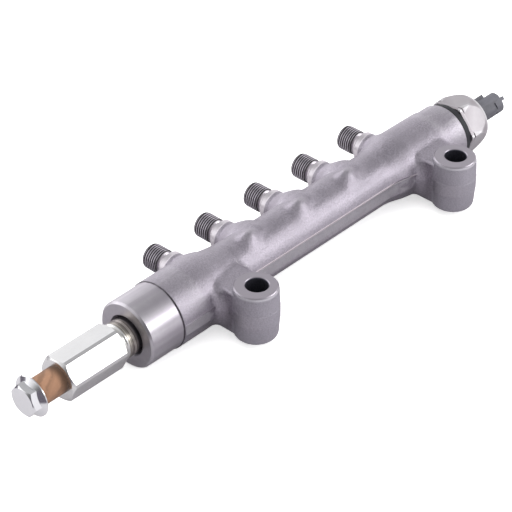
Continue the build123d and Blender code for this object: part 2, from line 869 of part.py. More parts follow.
with BuildPart() as sensor_spacer:
    with BuildSketch(cross_plane(at(sensor_board_rear))):
        Circle(sensor_board_r)
        Circle(sensor_board_r - spacer_wall, mode=Mode.SUBTRACT)
    extrude(amount=sensor_base_start - sensor_board_rear)
label(sensor_spacer, "sensor_spacer")

with BuildPart() as sensor_connector:
    with BuildSketch(cross_plane(at(sensor_base_start))):
        Circle(sensor_board_r)
    extrude(amount=sensor_base_length)
    with BuildSketch(cross_plane(at(sensor_base_start), plug_turn)):
        with Locations((plug_shift, 0)):
            RectangleRounded(plug_width, plug_depth, plug_corner_r)
    extrude(amount=plug_end - sensor_base_start)
    # flared collar at the foot of the plug
    with BuildSketch(axial_plane(near_face)):
        with BuildLine():
            Line((sensor_base_end - 1.0, 0), (sensor_base_end - 1.0, plug_collar_r))
            Line((sensor_base_end - 1.0, plug_collar_r), (sensor_hex_end, plug_collar_r))
            RadiusArc(
                (sensor_hex_end, plug_collar_r),
                (sensor_hex_end + plug_collar_length, plug_width / 2 - 0.6),
                -1.6 * plug_collar_length,
            )
            Polyline(
                (sensor_hex_end + plug_collar_length, plug_width / 2 - 0.6),
                (sensor_hex_end + plug_collar_length, 0),
                (sensor_base_end - 1.0, 0),
            )
        make_face()
    revolve(axis=rail_axis)
    # latch ramp on one side
    with BuildSketch(cross_plane(at(sensor_base_end), plug_turn)):
        with Locations((plug_shift + plug_width / 2, 0)):
            Rectangle(2 * latch_height, latch_width)
    extrude(amount=latch_end - sensor_base_end)
    # pocket for the mating connector
    with BuildSketch(cross_plane(at(plug_pocket_start), plug_turn)):
        with Locations((plug_shift, 0)):
            RectangleRounded(
                plug_width - 2 * plug_wall, plug_depth - 2 * plug_wall, plug_corner_r - plug_wall
            )
    extrude(amount=plug_end - plug_pocket_start + 1, mode=Mode.SUBTRACT)
    # coding tab past the rim, on the wall that faces away from the nipples
    with BuildSketch(cross_plane(at(plug_end - tab_root), plug_turn)):
        with Locations((plug_shift, (plug_depth - tab_thickness) / 2)):
            Rectangle(tab_width, tab_thickness)
    extrude(amount=tab_root + tab_reach)
    # retaining slot cut across one corner
    with BuildSketch(cross_plane(at(slot_start), plug_turn)):
        with Locations((plug_shift - plug_width / 2, plug_depth / 2)):
            Rectangle(plug_width, 2 * slot_depth)
            Rectangle(2 * slot_depth, plug_depth)
    extrude(amount=slot_length, mode=Mode.SUBTRACT)
    # passages for the three terminals
    with BuildSketch(cross_plane(at(sensor_base_start), plug_turn)):
        with Locations((plug_shift, 0)):
            with GridLocations(terminal_pitch, terminal_pitch, 1, 3):
                Rectangle(terminal_width, terminal_width)
    extrude(amount=plug_pocket_start - sensor_base_start, mode=Mode.SUBTRACT)
label(sensor_connector, "sensor_connector")

for number in (1, 2, 3):
    with BuildPart() as terminal:
        with BuildSketch(cross_plane(at(sensor_board_rear), plug_turn)):
            with Locations((plug_shift, (number - 2) * terminal_pitch)):
                Rectangle(terminal_width, terminal_width)
        extrude(amount=terminal_end - sensor_board_rear)
        chamfer(terminal.faces().sort_by(Axis.X)[-1].edges(), length=0.2)
    label(terminal, "sensor_terminal_" + str(number))
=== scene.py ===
import json
import math

import bmesh
import bpy
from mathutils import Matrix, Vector

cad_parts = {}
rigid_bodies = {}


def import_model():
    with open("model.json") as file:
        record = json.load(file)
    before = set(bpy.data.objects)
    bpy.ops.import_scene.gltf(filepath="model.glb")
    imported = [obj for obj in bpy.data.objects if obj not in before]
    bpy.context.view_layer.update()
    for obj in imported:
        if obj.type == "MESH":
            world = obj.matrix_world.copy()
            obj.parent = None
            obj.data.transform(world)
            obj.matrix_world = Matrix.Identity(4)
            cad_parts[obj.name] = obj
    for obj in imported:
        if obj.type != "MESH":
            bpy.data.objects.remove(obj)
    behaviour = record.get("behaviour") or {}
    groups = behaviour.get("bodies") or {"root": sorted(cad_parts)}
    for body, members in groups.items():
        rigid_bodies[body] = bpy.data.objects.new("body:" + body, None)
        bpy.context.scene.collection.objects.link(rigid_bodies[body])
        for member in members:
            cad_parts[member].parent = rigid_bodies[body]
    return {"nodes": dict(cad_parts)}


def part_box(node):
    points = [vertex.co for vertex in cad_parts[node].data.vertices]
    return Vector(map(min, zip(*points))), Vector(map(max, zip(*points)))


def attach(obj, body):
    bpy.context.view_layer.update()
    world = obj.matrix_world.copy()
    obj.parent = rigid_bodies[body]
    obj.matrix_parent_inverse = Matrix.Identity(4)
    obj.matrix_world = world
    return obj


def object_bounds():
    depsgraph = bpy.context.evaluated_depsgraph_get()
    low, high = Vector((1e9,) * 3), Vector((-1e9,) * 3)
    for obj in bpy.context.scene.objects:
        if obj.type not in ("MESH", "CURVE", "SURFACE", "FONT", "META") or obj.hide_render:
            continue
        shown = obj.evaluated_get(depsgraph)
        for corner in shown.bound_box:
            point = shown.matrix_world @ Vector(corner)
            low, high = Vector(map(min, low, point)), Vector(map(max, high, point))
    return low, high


bl_info = {
    "name": "Forged Fuel Rail",
    "version": (1, 0, 0),
    "blender": (4, 5, 0),
    "location": "3D View > Sidebar > Fuel Rail",
    "description": "Dresses the packed fuel rail: finishes, threads, relief, seal and stage",
    "category": "Object",
}

MM = 0.001

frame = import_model()
CAD_LOW, CAD_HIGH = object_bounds()
RAIL_LOW, RAIL_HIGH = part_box("rail_body")

# The rail: its axis, its two end faces, the groove behind the turned collar and the parting land.
RAIL_Y = 28.8 * MM
RAIL_Z = 13.5 * MM
NEAR_FACE = RAIL_LOW.x
FAR_FACE = RAIL_HIGH.x
GROOVE_X = NEAR_FACE + 19.5 * MM
LAND_Y = RAIL_Y - 12.0 * MM
LAND_Z = RAIL_Z + 3.4 * MM
LAND_HALF_LENGTH = 55.0 * MM

# The lugs stand at x = +LUG_X and -LUG_X, with their holes' axes on y = 0.
LUG_X = 70.0 * MM
LUG_TOP = 27.0 * MM
LUG_REACH = 12.0 * MM
LUG_HOLE_R = 5.25 * MM

# The nipples, from the near end to the far end.
NIPPLE_COUNT = 5
NIPPLE_PITCH = 33.85 * MM
NIPPLE_FIRST = -73.9 * MM
NIPPLE_LAST = NIPPLE_FIRST + (NIPPLE_COUNT - 1) * NIPPLE_PITCH
NIPPLE_R = 6.0 * MM
NIPPLE_SEAT_R = 3.6 * MM
NIPPLE_SEAT_Y = RAIL_Y + 17.0 * MM
NIPPLE_SHOULDER = RAIL_Y + 19.5 * MM
THREAD_START = RAIL_Y + 24.6 * MM
THREAD_END = RAIL_Y + 34.1 * MM
ROOT_DEPTH = 0.12 * MM
CREST_SHARE = 0.20
THREAD_WALL = 0.2 * MM
THREAD_WELD = 0.002 * MM

# The limiter's turned neck and the card sleeve at the near end, at the far end a black ring of
# painted shade in the sensor's gap.
NECK_START = NEAR_FACE - 6.4 * MM
SLEEVE_END = NEAR_FACE - 41.4 * MM
SENSOR_GAP = 4.6 * MM
GAP_SHADE_SLACK = 0.4 * MM
GAP_SHADE_R = 14.5 * MM
GAP_SHADE_INNER_R = 8.6 * MM
GAP_SHADE_EDGE_R = 0.6 * MM

# The relief skin: its outline from above, its border and how it sits on the forging.
SKIN_START = NIPPLE_FIRST + 12.0 * MM
SKIN_END = NIPPLE_LAST - 16.0 * MM
SKIN_NEAR_Y = RAIL_Y - 11.5 * MM
SKIN_FAR_Y = RAIL_Y + 9.0 * MM
SKIN_DROP_FROM = 60.0 * MM
SKIN_BORDER = 4.0 * MM
SKIN_SINK = 0.01 * MM
SKIN_WALL = 1.0 * MM

# Tones that belong to one place of the forging; the lug rim and land tones are painted highlight,
# the groove, root and bore tones painted shade.
LUG_TONE = (0.60, 0.59, 0.64)
LUG_RIM_HIGHLIGHT = (0.76, 0.74, 0.78)
GROOVE_SHADOW = (0.10, 0.09, 0.105)
NECK_TONE = (0.80, 0.75, 0.79)
LAND_HIGHLIGHT = (0.74, 0.69, 0.72)
WORN_TONE = (0.72, 0.70, 0.73)
ROOT_SHADE = (0.08, 0.072, 0.075)
BORE_SHADE = (0.09, 0.09, 0.115)
LUG_TONE_SHARE = 0.45

# Roughness: lowest and highest of a surface, at the root and the crest of a thread.
FORGED_ROUGHNESS = (0.30, 0.50)
CUT_ROUGHNESS = (0.27, 0.36)
LUG_ROUGHNESS = 0.62
THREAD_ROUGHNESS = (0.55, 0.26)
CARD_ROUGHNESS = (0.7, 0.9)

# Where the shared effects begin and end to show, on their scale from 0 to 1.
PATCHES = (0.3, 0.7)
PLATING_PATCHES = (0.35, 0.68)
SPECKS = (0.34, 0.66)
TOOL_MARKS = (0.40, 0.60)
SHARP_EDGES = (0.505, 0.56)
CREASES = (0.32, 0.62)
FIBRES = (0.58, 0.75)

# Tones of the limiter's neck (a painted brownish reflection in its tool rings, painted shade into
# the port), the worn plating and painted shade in the thread's valleys.
NECK_REFLECTION_DARK = (0.20, 0.18, 0.16)
NECK_REFLECTION_LIGHT = (0.66, 0.62, 0.56)
NECK_SHADE = (0.10, 0.095, 0.10)
PLATING_WORN = (0.93, 0.93, 0.94)
THREAD_ROOT_SHADE = (0.03, 0.028, 0.03)

# The sleeve's creases: their spacing along it, and how far they slant in going round it.
CREASE_LEAD = 5.0 * MM
CREASE_TWIST = 1.6

# The floor is white to the camera. Reflected rays see it by zones, as (from, to) in metres.
FLOOR_GAP = 0.1 * MM
FLOOR_SEEN = (0.95, 0.95, 0.95)
FLOOR_GLOW = 0.50
FLOOR_NEAR = (0.33, 0.32, 0.34)
FLOOR_ASIDE = (0.56, 0.55, 0.57)
FLOOR_BEHIND = (0.62, 0.61, 0.63)
FLOOR_PAST_BOLT = (0.48, 0.47, 0.49)
FLOOR_FAR_OUT = (0.09, 0.08, 0.10)
ASIDE_ZONE = (0.04, 0.17)
BEHIND_ZONE = (0.02, 0.10)
BEHIND_SLANT = 0.3
PAST_BOLT_ZONE = (-0.150, -0.180)
FAR_OUT_ZONE = (-0.204, -0.216)

# The dome: its greys by height, and the directions in which it is dimmed and brightened.
DOME_GREYS = (
    (0.0, (0.80, 0.80, 0.81)), (0.30, (0.90, 0.90, 0.918)), (0.66, (0.75, 0.75, 0.765)),
    (0.82, (0.40, 0.40, 0.408)), (1.0, (0.34, 0.34, 0.36)),
)
DOME_LIGHT = (1.55, 1.55, 1.55)
DOME_FRONT = (-0.91, -0.42)
DOME_FRONT_ZONE = (0.60, 0.93)
DOME_FRONT_GAIN = 0.18
DOME_REAR = (-0.17, 0.98)
DOME_REAR_ZONE = (0.55, 0.95)

# Lamps and camera, in metres: places, what they aim at and the lamps' sides.
KEY_PLACE, KEY_AIM, KEY_SIZE = (0.62, -0.78, 0.56), (0.0, 0.0, 0.0), (1.0, 0.42)
TOP_PLACE, TOP_AIM, TOP_SIZE = (-0.25, 0.05, 1.10), (0.0, 0.03, 0.0), (0.8, 0.8)
CAMERA_PLACE, CAMERA_AIM = (-0.6365, -0.5288, 0.6185), (-0.0276, 0.0402, -0.0006)
CAMERA_SENSOR = 36.0
CAMERA_CLIP = (0.01, 50.0)


# ---------------------------------------------------------------- properties

class RailFinish(bpy.types.PropertyGroup):
    """Colours of the finishes and the depth of the blasted grain"""
    steel: bpy.props.FloatVectorProperty(
        name="Forged steel", description="Colour of the blasted forging",
        subtype="COLOR", size=3, min=0.0, max=1.0, default=(0.48, 0.442, 0.503),
    )
    turned: bpy.props.FloatVectorProperty(
        name="Turned steel", description="Colour of the machined faces",
        subtype="COLOR", size=3, min=0.0, max=1.0, default=(0.485, 0.45, 0.50),
    )
    zinc: bpy.props.FloatVectorProperty(
        name="Zinc plating", description="Colour of the limiter's plated hexagon",
        subtype="COLOR", size=3, min=0.0, max=1.0, default=(0.83, 0.82, 0.80),
    )
    bright: bpy.props.FloatVectorProperty(
        name="Bright plating", description="Colour of the plated return bolt",
        subtype="COLOR", size=3, min=0.0, max=1.0, default=(0.90, 0.90, 0.92),
    )
    stainless: bpy.props.FloatVectorProperty(
        name="Sensor steel", description="Colour of the sensor housing",
        subtype="COLOR", size=3, min=0.0, max=1.0, default=(0.49, 0.455, 0.48),
    )
    plastic: bpy.props.FloatVectorProperty(
        name="Plug plastic", description="Colour of the connector",
        subtype="COLOR", size=3, min=0.0, max=1.0, default=(0.086, 0.085, 0.10),
    )
    kraft: bpy.props.FloatVectorProperty(
        name="Kraft", description="Colour of the card sleeve under the bolt head",
        subtype="COLOR", size=3, min=0.0, max=1.0, default=(0.29, 0.158, 0.095),
    )
    grain: bpy.props.FloatProperty(
        name="Blast grain", description="Depth of the grain on the forging",
        min=0.0, max=1.0, default=0.75,
    )


class RailThreads(bpy.types.PropertyGroup):
    """Sizes of the nipples' threads"""
    pitch: bpy.props.FloatProperty(
        name="Pitch", description="Lead of the nipple thread", unit="LENGTH",
        min=0.5 * MM, max=3.0 * MM, default=1.25 * MM,
    )
    proud: bpy.props.FloatProperty(
        name="Crest", description="How far the crests stand out from the nipple",
        unit="LENGTH", min=0.05 * MM, max=0.5 * MM, default=0.26 * MM,
    )
    steps: bpy.props.IntProperty(
        name="Steps", description="Flats in one turn of a thread", min=16, max=96, default=48,
    )


class RailRelief(bpy.types.PropertyGroup):
    """Sizes of the soft skin over the rail's top and of its mounds"""
    spacing: bpy.props.FloatProperty(
        name="Spacing", description="Distance between the skin's points", unit="LENGTH",
        min=0.3 * MM, max=2.0 * MM, default=0.7 * MM,
    )
    passes: bpy.props.IntProperty(
        name="Softening", description="Smoothing passes", min=0, max=200, default=24,
    )
    skin: bpy.props.FloatProperty(
        name="Skin", description="How far the skin stands off the forging", unit="LENGTH",
        min=0.0, max=1.0 * MM, default=0.3 * MM,
    )
    height: bpy.props.FloatProperty(
        name="Mound height", description="Rise of the mound behind a nipple", unit="LENGTH",
        min=0.0, max=4.0 * MM, default=3.2 * MM,
    )
    mound_x: bpy.props.FloatProperty(
        name="Mound along", description="Mound's centre from its nipple, along the rail",
        unit="LENGTH", min=-20.0 * MM, max=20.0 * MM, default=-7.0 * MM,
    )
    mound_y: bpy.props.FloatProperty(
        name="Mound across", description="Mound's centre from the rail's axis",
        unit="LENGTH", min=-20.0 * MM, max=20.0 * MM, default=-2.5 * MM,
    )
    mound_length: bpy.props.FloatProperty(
        name="Mound length", description="Size of the mound along the rail", unit="LENGTH",
        min=1.0 * MM, max=50.0 * MM, default=15.0 * MM,
    )
    mound_width: bpy.props.FloatProperty(
        name="Mound width", description="Size of the mound across the rail", unit="LENGTH",
        min=1.0 * MM, max=50.0 * MM, default=14.0 * MM,
    )


class RailStage(bpy.types.PropertyGroup):
    """Size of the floor, power of the lamps and focal length of the camera"""
    floor: bpy.props.FloatProperty(
        name="Floor size", description="Length of the pale floor's side", unit="LENGTH",
        min=0.5, max=20.0, default=8.0,
    )
    key: bpy.props.FloatProperty(
        name="Key light", description="Power of the front light in watts",
        min=0.0, max=200.0, default=3.2,
    )
    top: bpy.props.FloatProperty(
        name="Top light", description="Power of the overhead light in watts",
        min=0.0, max=200.0, default=0.5,
    )
    lens: bpy.props.FloatProperty(
        name="Lens", description="Focal length of the camera in millimetres",
        min=20.0, max=400.0, default=154.56,
    )


# ------------------------------------------------------------- shader helpers

def add_node(tree, kind, inputs=None, **settings):
    """A node of that kind; inputs maps a socket's name or index to a value or an output."""
    made = tree.nodes.new(kind)
    for key, value in settings.items():
        setattr(made, key, value)
    for key, value in (inputs or {}).items():
        if isinstance(value, bpy.types.NodeSocket):
            tree.links.new(value, made.inputs[key])
        else:
            made.inputs[key].default_value = value
    return made


def math_node(tree, operation, a, b=0.0, clamp=False):
    made = add_node(tree, "ShaderNodeMath", {0: a, 1: b}, operation=operation, use_clamp=clamp)
    return made.outputs[0]


def plus(tree, a, b):
    return math_node(tree, "ADD", a, b)


def minus(tree, a, b):
    return math_node(tree, "SUBTRACT", a, b)


def times(tree, a, b):
    """The product; of two masks, the place where both hold."""
    return math_node(tree, "MULTIPLY", a, b)


def step(tree, value, low, high):
    """0 below low and 1 above high, smooth between them; low above high turns it round."""
    made = add_node(
        tree, "ShaderNodeMapRange",
        {"Value": value, "From Min": low, "From Max": high, "To Min": 0.0, "To Max": 1.0},
        interpolation_type="SMOOTHSTEP",
    )
    return made.outputs[0]


def band(tree, value, low, high, soft):
    """1 between low and high and 0 outside them, with a soft stretch inside either end."""
    return times(
        tree, step(tree, value, low, low + soft), step(tree, value, high, high - soft)
    )


def mix_colour(tree, factor, a, b):
    made = add_node(tree, "ShaderNodeMix", {0: factor, 6: a, 7: b}, data_type="RGBA")
    return made.outputs[2]


def mix_value(tree, factor, a, b):
    made = add_node(tree, "ShaderNodeMix", {0: factor, 2: a, 3: b}, data_type="FLOAT")
    return made.outputs[0]


def noise(tree, **inputs):
    """The value of a noise texture in space, or along one line when W is given."""
    made = add_node(
        tree, "ShaderNodeTexNoise", inputs, noise_dimensions="1D" if "W" in inputs else "3D",
    )
    return made.outputs[0]


def object_axes(tree):
    """The Object coordinates as one vector and as x, y and z, in metres."""
    place = add_node(tree, "ShaderNodeTexCoord")
    axes = add_node(tree, "ShaderNodeSeparateXYZ", {0: place.outputs["Object"]})
    return place.outputs["Object"], axes.outputs[0], axes.outputs[1], axes.outputs[2]


def radius_about(tree, a, b, centre_a, centre_b):
    """Distance from a line that runs along the third axis."""
    from_a = minus(tree, a, centre_a)
    from_b = minus(tree, b, centre_b)
    square = plus(tree, times(tree, from_a, from_a), times(tree, from_b, from_b))
    return math_node(tree, "SQRT", square)


def rgba(colour, gain=1.0):
    return (colour[0] * gain, colour[1] * gain, colour[2] * gain, 1.0)


def new_group(name, inputs, outputs):
    """A shader node group with number inputs {name: default} and number outputs."""
    tree = bpy.data.node_groups.new(name, "ShaderNodeTree")
    for label, value in inputs.items():
        made = tree.interface.new_socket(
            name=label, in_out="INPUT", socket_type="NodeSocketFloat"
        )
        made.default_value = value
    for label in outputs:
        tree.interface.new_socket(name=label, in_out="OUTPUT", socket_type="NodeSocketFloat")
    given = tree.nodes.new("NodeGroupInput")
    result = tree.nodes.new("NodeGroupOutput")
    return tree, given.outputs, result.inputs


def steel_grain_group():
    """Fine blasted grain and slow cloudy patches, both from 0 to 1."""
    tree, given, result = new_group(
        "steel_grain", {"Grain Scale": 2600.0, "Cloud Scale": 60.0}, ("Grain", "Cloud"),
    )
    place = object_axes(tree)[0]
    grain = noise(tree, Vector=place, Scale=given["Grain Scale"], Detail=3.0, Roughness=0.65)
    cloud = noise(tree, Vector=place, Scale=given["Cloud Scale"], Detail=4.0, Roughness=0.55)
    tree.links.new(grain, result["Grain"])
    tree.links.new(cloud, result["Cloud"])
    return tree


def turning_group():
    """Fine tool rings across the rail's axis, from 0 to 1."""
    tree, given, result = new_group("turning", {"Lines per mm": 3.0, "Wander": 0.4}, ("Rings",))
    place, along, _, _ = object_axes(tree)
    wander = noise(tree, Vector=place, Scale=90.0, Detail=2.0)
    lines = times(tree, times(tree, along, 1.0 / MM), given["Lines per mm"])
    drift = times(tree, wander, given["Wander"])
    rings = noise(tree, W=plus(tree, lines, drift), Scale=1.0, Detail=2.0, Roughness=0.6)
    tree.links.new(rings, result["Rings"])
    return tree


def edge_wear_group():
    """1 on sharp outer edges and 0 elsewhere, broken up by noise."""
    tree, given, result = new_group("edge_wear", {"Amount": 0.5, "Break Up": 0.5}, ("Wear",))
    place = object_axes(tree)[0]
    geometry = add_node(tree, "ShaderNodeNewGeometry")
    crest = step(tree, geometry.outputs["Pointiness"], *SHARP_EDGES)
    specks = noise(tree, Vector=place, Scale=420.0, Detail=4.0)
    kept = minus(tree, 1.0, times(tree, specks, given["Break Up"]))
    worn = times(tree, crest, kept)
    wear = math_node(tree, "MULTIPLY", worn, given["Amount"], clamp=True)
    tree.links.new(wear, result["Wear"])
    return tree


GROUP_MAKERS = {
    "steel_grain": steel_grain_group, "turning": turning_group, "edge_wear": edge_wear_group,
}


def use_group(tree, name, **inputs):
    """The outputs of a shared effect, which is made when it is first wanted."""
    made = tree.nodes.new("ShaderNodeGroup")
    made.node_tree = bpy.data.node_groups.get(name) or GROUP_MAKERS[name]()
    for key, value in inputs.items():
        made.inputs[key.replace("_", " ")].default_value = value
    return made.outputs


def new_finish(name, metallic, **constants):
    """A material with one Principled shader; constants go straight onto its sockets."""
    made = bpy.data.materials.new(name)
    made.use_nodes = True
    tree = made.node_tree
    shader = tree.nodes["Principled BSDF"]
    shader.inputs["Metallic"].default_value = metallic
    for key, value in constants.items():
        shader.inputs[key.replace("_", " ")].default_value = value
    return made, tree, shader.inputs


def bump(tree, inputs, height, strength, distance):
    """Gives a shader's inputs a normal that follows height."""
    made = add_node(
        tree, "ShaderNodeBump", {"Strength": strength, "Distance": distance, "Height": height},
    )
    tree.links.new(made.outputs[0], inputs["Normal"])


# ------------------------------------------------------------------ finishes

def lug_radius(tree, x, y):
    """Distance from the axis of the nearest lug hole."""
    along = minus(tree, math_node(tree, "ABSOLUTE", x), LUG_X)
    return radius_about(tree, along, y, 0.0, 0.0)


def nipple_radius(tree, x, z):
    """Distance from the axis of the nearest nipple."""
    start = NIPPLE_FIRST - NIPPLE_PITCH / 2
    share = math_node(tree, "DIVIDE", minus(tree, x, start), NIPPLE_PITCH)
    along = times(tree, minus(tree, math_node(tree, "FRACT", share), 0.5), NIPPLE_PITCH)
    return radius_about(tree, along, z, 0.0, RAIL_Z)


def lug_masks(tree, x, y, z):
    """The lugs, the spot faces on their tops and a painted highlight on the rounded rims round
    these.
    """
    lug = step(tree, lug_radius(tree, x, y), LUG_REACH, LUG_REACH - 1.0 * MM)
    top = step(tree, z, LUG_TOP - 0.6 * MM, LUG_TOP - 0.4 * MM)
    # Painted highlight on the rounded rim just below each lug's spot face.
    rim_highlight = step(tree, z, LUG_TOP - 2.4 * MM, LUG_TOP - 1.0 * MM)
    return lug, times(tree, lug, top), times(tree, lug, rim_highlight)


def nipple_masks(tree, x, y, z):
    """The turned part of the nipples, their bare necks and painted shade on the flank between the
    thread's teeth.
    """
    turned = step(tree, y, NIPPLE_SHOULDER - 0.3 * MM, NIPPLE_SHOULDER + 0.3 * MM)
    neck = times(tree, turned, step(tree, y, THREAD_START + 0.4 * MM, THREAD_START))
    radius = nipple_radius(tree, x, z)
    flank = times(
        tree, step(tree, radius, NIPPLE_R - 0.4 * MM, NIPPLE_R - 0.1 * MM),
        step(tree, y, THREAD_START, THREAD_START + 0.8 * MM),
    )
    before_tip = step(tree, y, THREAD_END + 0.4 * MM, THREAD_END - 0.2 * MM)
    return turned, neck, times(tree, flank, before_tip)


def land_highlight_mask(tree, x, y, z):
    """Painted highlight along the narrow parting land on the near flank, between the lugs."""
    line = band(tree, z, LAND_Z - 0.4 * MM, LAND_Z + 0.4 * MM, 0.25 * MM)
    outside = step(tree, y, LAND_Y + 1.0 * MM, LAND_Y)
    reach = math_node(tree, "ABSOLUTE", x)
    between = step(tree, reach, LAND_HALF_LENGTH + 3.0 * MM, LAND_HALF_LENGTH)
    return times(tree, times(tree, line, outside), between)


def bore_shade_mask(tree, x, y, z):
    """Painted shade on the walls of the two lug holes and of the nipples' drillings."""
    hole = step(tree, lug_radius(tree, x, y), LUG_HOLE_R + 0.35 * MM, LUG_HOLE_R + 0.1 * MM)
    drilling = times(
        tree,
        step(tree, nipple_radius(tree, x, z), NIPPLE_SEAT_R + 0.1 * MM, NIPPLE_SEAT_R - 0.1 * MM),
        step(tree, y, NIPPLE_SEAT_Y - 1.0 * MM, NIPPLE_SEAT_Y),
    )
    return math_node(tree, "MAXIMUM", hole, drilling)


def forged_steel(finish):
    """Blasted forging, with turned collar, spot faces, bores and nipples."""
    made, tree, inputs = new_finish("forged_steel", 1.0, Specular_IOR_Level=0.5)
    grain = use_group(tree, "steel_grain", Grain_Scale=1300.0, Cloud_Scale=70.0)
    rings = use_group(tree, "turning", Lines_per_mm=2.2, Wander=0.3)
    wear = use_group(tree, "edge_wear", Amount=0.9, Break_Up=0.6)
    _, x, y, z = object_axes(tree)
    lug, lug_top, lug_rim_highlight = lug_masks(tree, x, y, z)
    nipple, neck, root_shade = nipple_masks(tree, x, y, z)
    collar = step(tree, x, GROOVE_X + 0.1 * MM, GROOVE_X - 0.3 * MM)
    # Painted shadow: a dark band at the step behind the turned collar.
    groove_shadow = band(tree, x, GROOVE_X - 0.5 * MM, GROOVE_X + 0.5 * MM, 0.3 * MM)
    machined = math_node(tree, "MAXIMUM", math_node(tree, "MAXIMUM", collar, lug_top), nipple)

    cloud = step(tree, grain["Cloud"], *PATCHES)
    patchy = mix_colour(tree, cloud, rgba(finish.steel, 0.90), rgba(finish.steel, 1.08))
    speck = step(tree, grain["Grain"], *SPECKS)
    forged = mix_colour(tree, speck, rgba(finish.steel, 0.76), patchy)
    cut = mix_colour(tree, cloud, rgba(finish.turned, 0.95), rgba(finish.turned, 1.05))
    colour = mix_colour(tree, machined, forged, cut)
    # Coats over the steel: the lug rim and the land carry painted highlight, the groove, thread
    # valleys and bores painted shade.
    coats = (
        (times(tree, lug, LUG_TONE_SHARE), rgba(LUG_TONE)),
        (lug_rim_highlight, rgba(LUG_RIM_HIGHLIGHT)),
        (lug_top, rgba(finish.turned, 0.90)),
        (groove_shadow, rgba(GROOVE_SHADOW)),
        (neck, rgba(NECK_TONE)),
        (land_highlight_mask(tree, x, y, z), rgba(LAND_HIGHLIGHT)),
        (times(tree, wear["Wear"], minus(tree, 1.0, lug)), rgba(WORN_TONE)),
        (root_shade, rgba(ROOT_SHADE)),
        (bore_shade_mask(tree, x, y, z), rgba(BORE_SHADE)),
    )
    for mask, tone in coats:
        colour = mix_colour(tree, mask, colour, tone)
    tree.links.new(colour, inputs["Base Color"])

    rough_forged = mix_value(tree, grain["Grain"], *FORGED_ROUGHNESS)
    rough_forged = mix_value(tree, lug, rough_forged, LUG_ROUGHNESS)
    rough_cut = mix_value(tree, rings["Rings"], *CUT_ROUGHNESS)
    tree.links.new(mix_value(tree, machined, rough_forged, rough_cut), inputs["Roughness"])
    forged_height = plus(tree, grain["Grain"], times(tree, grain["Cloud"], 2.0))
    cut_height = times(tree, rings["Rings"], 0.10)
    height = mix_value(tree, machined, forged_height, cut_height)
    bump(tree, inputs, height, strength=finish.grain, distance=0.25 * MM)
    return made


def bare_neck(tree, rings, plating):
    """The plating's colour, and past the neck's start turned steel whose tool rings carry a
    painted brownish reflection and which darkens with painted shade into the port.
    """
    along = object_axes(tree)[1]
    cuts = step(tree, rings["Rings"], *TOOL_MARKS)
    turned = mix_colour(tree, cuts, rgba(NECK_REFLECTION_DARK), rgba(NECK_REFLECTION_LIGHT))
    inward = step(tree, along, NEAR_FACE - 2.6 * MM, NEAR_FACE - 0.6 * MM)
    turned = mix_colour(tree, inward, turned, rgba(NECK_SHADE))
    bare = step(tree, along, NECK_START, NECK_START + 0.3 * MM)
    return mix_colour(tree, bare, plating, turned)


def plated_steel(name, colour, roughness, cloudiness, with_neck=False):
    """Bright plating, a little cloudy, with worn edges; with_neck leaves the neck bare."""
    made, tree, inputs = new_finish(name, 1.0)
    grain = use_group(tree, "steel_grain", Grain_Scale=1100.0, Cloud_Scale=110.0)
    rings = use_group(tree, "turning", Lines_per_mm=1.6, Wander=0.2)
    wear = use_group(tree, "edge_wear", Amount=0.8, Break_Up=0.5)
    cloud = step(tree, grain["Cloud"], *PLATING_PATCHES)
    base = mix_colour(tree, cloud, rgba(colour, 1.0 - cloudiness), rgba(colour))
    shown = mix_colour(tree, wear["Wear"], base, rgba(PLATING_WORN))
    if with_neck:
        shown = bare_neck(tree, rings, shown)
    tree.links.new(shown, inputs["Base Color"])
    rough = mix_value(tree, grain["Cloud"], roughness * 0.8, roughness * 1.25)
    tree.links.new(rough, inputs["Roughness"])
    height = plus(
        tree, times(tree, grain["Grain"], 0.25), times(tree, rings["Rings"], 0.3)
    )
    bump(tree, inputs, height, strength=0.12, distance=0.1 * MM)
    return made


def thread_steel(finish):
    """Rolled thread: bright crests, and painted shade in the valleys between them."""
    made, tree, inputs = new_finish("thread_steel", 1.0)
    grain = use_group(tree, "steel_grain", Grain_Scale=1800.0, Cloud_Scale=150.0)
    _, x, _, z = object_axes(tree)
    radius = nipple_radius(tree, x, z)
    crest = step(tree, radius, NIPPLE_R + 0.06 * MM, NIPPLE_R + 0.24 * MM)
    # The valleys below the crests take painted shade.
    colour = mix_colour(tree, crest, rgba(THREAD_ROOT_SHADE), rgba(finish.turned, 1.3))
    tree.links.new(colour, inputs["Base Color"])
    tree.links.new(mix_value(tree, crest, *THREAD_ROUGHNESS), inputs["Roughness"])
    bump(tree, inputs, grain["Grain"], strength=0.15, distance=0.1 * MM)
    return made


